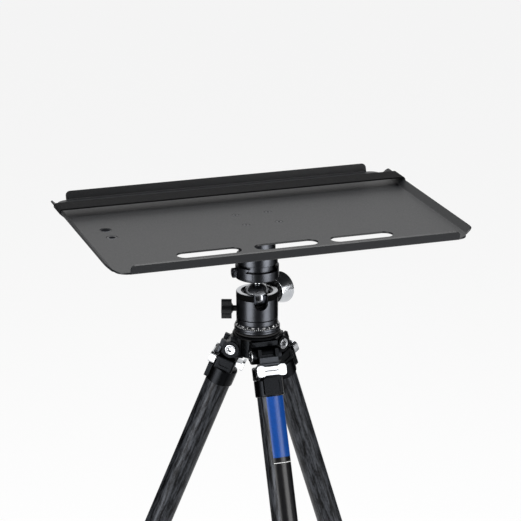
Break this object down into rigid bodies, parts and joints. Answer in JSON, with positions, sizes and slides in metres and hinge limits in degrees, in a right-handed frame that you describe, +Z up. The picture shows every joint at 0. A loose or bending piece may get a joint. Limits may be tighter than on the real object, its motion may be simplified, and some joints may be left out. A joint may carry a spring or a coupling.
{
  "type": "tethering table",
  "caption": "Folded sheet tray with lips, slots and a strap, carried by a ball head with a quick-release clamp on a folding, telescopic tripod.",
  "frame": {"origin": "on the floor, below the middle of the bounding box", "axes": "+Z up along the tripod axis; +X to the right as seen from the front; +Y towards the back, so the front leg and the slots lie towards -Y"},
  "size_m": [0.6206, 0.5411, 0.9597],
  "materials": {
    "satin_black_sheet": "satin black powder coat on sheet",
    "black_anodised": "black anodised, fine turned",
    "black_cast_alloy": "black painted casting",
    "bright_steel": "bright turned steel",
    "dark_steel": "dark plated steel",
    "silver_alloy": "silver anodised",
    "dark_chrome": "dark polished",
    "carbon_tube": "woven carbon laminate under clear gloss",
    "grip_rubber": "matt moulded rubber",
    "black_webbing": "woven webbing",
    "black_plastic": "moulded, fine matt"
  },
  "bodies": {
    "tripod": {"tripod_hub": "black_cast_alloy", "top_plate": "grip_rubber", "head_stud": "bright_steel", "pan_base": "black_anodised", "pivot_bolt_left": "bright_steel", "pivot_bolt_front": "bright_steel", "pivot_bolt_right": "bright_steel"},
    "leg_left": {"leg_shoulder_left": "black_cast_alloy", "upper_tube_left": "carbon_tube"},
    "tab_left": {"angle_tab_left": "silver_alloy"},
    "upper_lock_left": {"upper_lock_left": "grip_rubber"},
    "middle_left": {"middle_tube_left": "carbon_tube"},
    "lower_lock_left": {"lower_lock_left": "grip_rubber"},
    "lower_left": {"lower_tube_left": "carbon_tube", "foot_left": "grip_rubber"},
    "leg_front": {"leg_shoulder_front": "black_cast_alloy", "upper_tube_front": "carbon_tube"},
    "tab_front": {"angle_tab_front": "silver_alloy"},
    "upper_lock_front": {"upper_lock_front": "grip_rubber"},
    "middle_front": {"middle_tube_front": "carbon_tube"},
    "lower_lock_front": {"lower_lock_front": "grip_rubber"},
    "lower_front": {"lower_tube_front": "carbon_tube", "foot_front": "grip_rubber"},
    "leg_right": {"leg_shoulder_right": "black_cast_alloy", "upper_tube_right": "carbon_tube"},
    "tab_right": {"angle_tab_right": "silver_alloy"},
    "upper_lock_right": {"upper_lock_right": "grip_rubber"},
    "middle_right": {"middle_tube_right": "carbon_tube"},
    "lower_lock_right": {"lower_lock_right": "grip_rubber"},
    "lower_right": {"lower_tube_right": "carbon_tube", "foot_right": "grip_rubber"},
    "ball_housing": {"ball_housing": "black_anodised", "ball_cup": "black_plastic"},
    "main_knob": {"main_knob": "silver_alloy"},
    "pan_knob": {"pan_knob": "black_plastic"},
    "ball": {"ball": "dark_chrome"},
    "stem": {"ball_stem": "bright_steel"},
    "clamp": {"clamp_body": "black_anodised"},
    "clamp_jaw": {"clamp_jaw": "black_anodised"},
    "clamp_knob": {"clamp_knob": "black_anodised"},
    "tray": {"dovetail_plate": "black_anodised", "plate_bolt": "bright_steel", "mount_column": "black_anodised", "column_lock_screw": "bright_steel", "tray_pan": "satin_black_sheet", "thread_insert_quarter": "dark_steel", "thread_insert_three_eighths": "dark_steel", "strap": "black_webbing", "column_screw_1": "bright_steel", "column_screw_2": "bright_steel", "column_screw_3": "bright_steel", "column_screw_4": "bright_steel"},
    "buckle": {"strap_buckle": "black_plastic"}
  },
  "joints": [
    {"name": "leg_fold_left", "type": "hinge", "parent": "tripod", "child": "leg_left", "pos_m": [-0.02295, 0.09734, 0.80822], "axis": [0.5, 0.866, 0], "range_deg": [-21.8, 0]},
    {"name": "angle_tab_slide_left", "type": "slide", "parent": "leg_left", "child": "tab_left", "axis": [-0.8041, 0.4642, 0.3714], "range_m": [0, 0.006]},
    {"name": "upper_lock_turn_left", "type": "hinge", "parent": "leg_left", "child": "upper_lock_left", "pos_m": [-0.14838, 0.16976, 0.44611], "axis": [-0.3216, 0.1857, -0.9285], "range_deg": [0, 120]},
    {"name": "middle_slide_left", "type": "slide", "parent": "leg_left", "child": "middle_left", "axis": [-0.3216, 0.1857, -0.9285], "range_m": [-0.178, 0.09]},
    {"name": "lower_lock_turn_left", "type": "hinge", "parent": "middle_left", "child": "lower_lock_left", "pos_m": [-0.22235, 0.21247, 0.23256], "axis": [-0.3216, 0.1857, -0.9285], "range_deg": [0, 120]},
    {"name": "lower_slide_left", "type": "slide", "parent": "middle_left", "child": "lower_left", "axis": [-0.3216, 0.1857, -0.9285], "range_m": [-0.153, 0.1]},
    {"name": "leg_fold_front", "type": "hinge", "parent": "tripod", "child": "leg_front", "pos_m": [0, 0.05759, 0.80822], "axis": [-1, 0, 0], "range_deg": [-21.8, 0]},
    {"name": "angle_tab_slide_front", "type": "slide", "parent": "leg_front", "child": "tab_front", "axis": [0, -0.9285, 0.3714], "range_m": [0, 0.006]},
    {"name": "upper_lock_turn_front", "type": "hinge", "parent": "leg_front", "child": "upper_lock_front", "pos_m": [0, -0.08724, 0.44611], "axis": [0, -0.3714, -0.9285], "range_deg": [0, 120]},
    {"name": "middle_slide_front", "type": "slide", "parent": "leg_front", "child": "middle_front", "axis": [0, -0.3714, -0.9285], "range_m": [-0.178, 0.09]},
    {"name": "lower_lock_turn_front", "type": "hinge", "parent": "middle_front", "child": "lower_lock_front", "pos_m": [0, -0.17265, 0.23256], "axis": [0, -0.3714, -0.9285], "range_deg": [0, 120]},
    {"name": "lower_slide_front", "type": "slide", "parent": "middle_front", "child": "lower_front", "axis": [0, -0.3714, -0.9285], "range_m": [-0.153, 0.1]},
    {"name": "leg_fold_right", "type": "hinge", "parent": "tripod", "child": "leg_right", "pos_m": [0.02295, 0.09734, 0.80822], "axis": [0.5, -0.866, 0], "range_deg": [-21.8, 0]},
    {"name": "angle_tab_slide_right", "type": "slide", "parent": "leg_right", "child": "tab_right", "axis": [0.8041, 0.4642, 0.3714], "range_m": [0, 0.006]},
    {"name": "upper_lock_turn_right", "type": "hinge", "parent": "leg_right", "child": "upper_lock_right", "pos_m": [0.14838, 0.16976, 0.44611], "axis": [0.3216, 0.1857, -0.9285], "range_deg": [0, 120]},
    {"name": "middle_slide_right", "type": "slide", "parent": "leg_right", "child": "middle_right", "axis": [0.3216, 0.1857, -0.9285], "range_m": [-0.178, 0.09]},
    {"name": "lower_lock_turn_right", "type": "hinge", "parent": "middle_right", "child": "lower_lock_right", "pos_m": [0.22235, 0.21247, 0.23256], "axis": [0.3216, 0.1857, -0.9285], "range_deg": [0, 120]},
    {"name": "lower_slide_right", "type": "slide", "parent": "middle_right", "child": "lower_right", "axis": [0.3216, 0.1857, -0.9285], "range_m": [-0.153, 0.1]},
    {"name": "pan", "type": "hinge", "parent": "tripod", "child": "ball_housing", "pos_m": [0, 0.08409, 0.84422], "axis": [0, 0, 1], "continuous": true},
    {"name": "main_knob_turn", "type": "hinge", "parent": "ball_housing", "child": "main_knob", "pos_m": [0, 0.08409, 0.86502], "axis": [0.8192, 0.5736, 0], "range_deg": [0, 270]},
    {"name": "pan_knob_turn", "type": "hinge", "parent": "ball_housing", "child": "pan_knob", "pos_m": [0, 0.08409, 0.85262], "axis": [-0.9455, 0.3256, 0], "range_deg": [0, 360]},
    {"name": "ball_tilt_side", "type": "hinge", "parent": "ball_housing", "child": "ball", "pos_m": [0, 0.08409, 0.86722], "axis": [0, 1, 0], "range_deg": [-30, 10]},
    {"name": "ball_tilt_fore", "type": "hinge", "parent": "ball", "child": "stem", "pos_m": [0, 0.08409, 0.86722], "axis": [-1, 0, 0], "range_deg": [-30, 10]},
    {"name": "ball_spin", "type": "hinge", "parent": "stem", "child": "clamp", "pos_m": [0, 0.08409, 0.86722], "axis": [0, 0, 1], "continuous": true},
    {"name": "clamp_jaw_slide", "type": "slide", "parent": "clamp", "child": "clamp_jaw", "axis": [-1, 0, 0], "range_m": [0, 0.0025]},
    {"name": "clamp_knob_turn", "type": "hinge", "parent": "clamp_jaw", "child": "clamp_knob", "pos_m": [-0.0091, 0.08409, 0.89582], "axis": [-1, 0, 0], "range_deg": [0, 720]},
    {"name": "plate_slide", "type": "slide", "parent": "clamp", "child": "tray", "axis": [0, 1, 0], "range_m": [-0.015, 0.015]},
    {"name": "buckle_slide", "type": "slide", "parent": "tray", "child": "buckle", "axis": [1, 0, 0], "range_m": [-0.05, 0.05]}
  ],
  "couplings": [
    {"joint": "clamp_knob_turn", "follows": "clamp_jaw_slide", "rad_per_m": 5026.5}
  ]
}
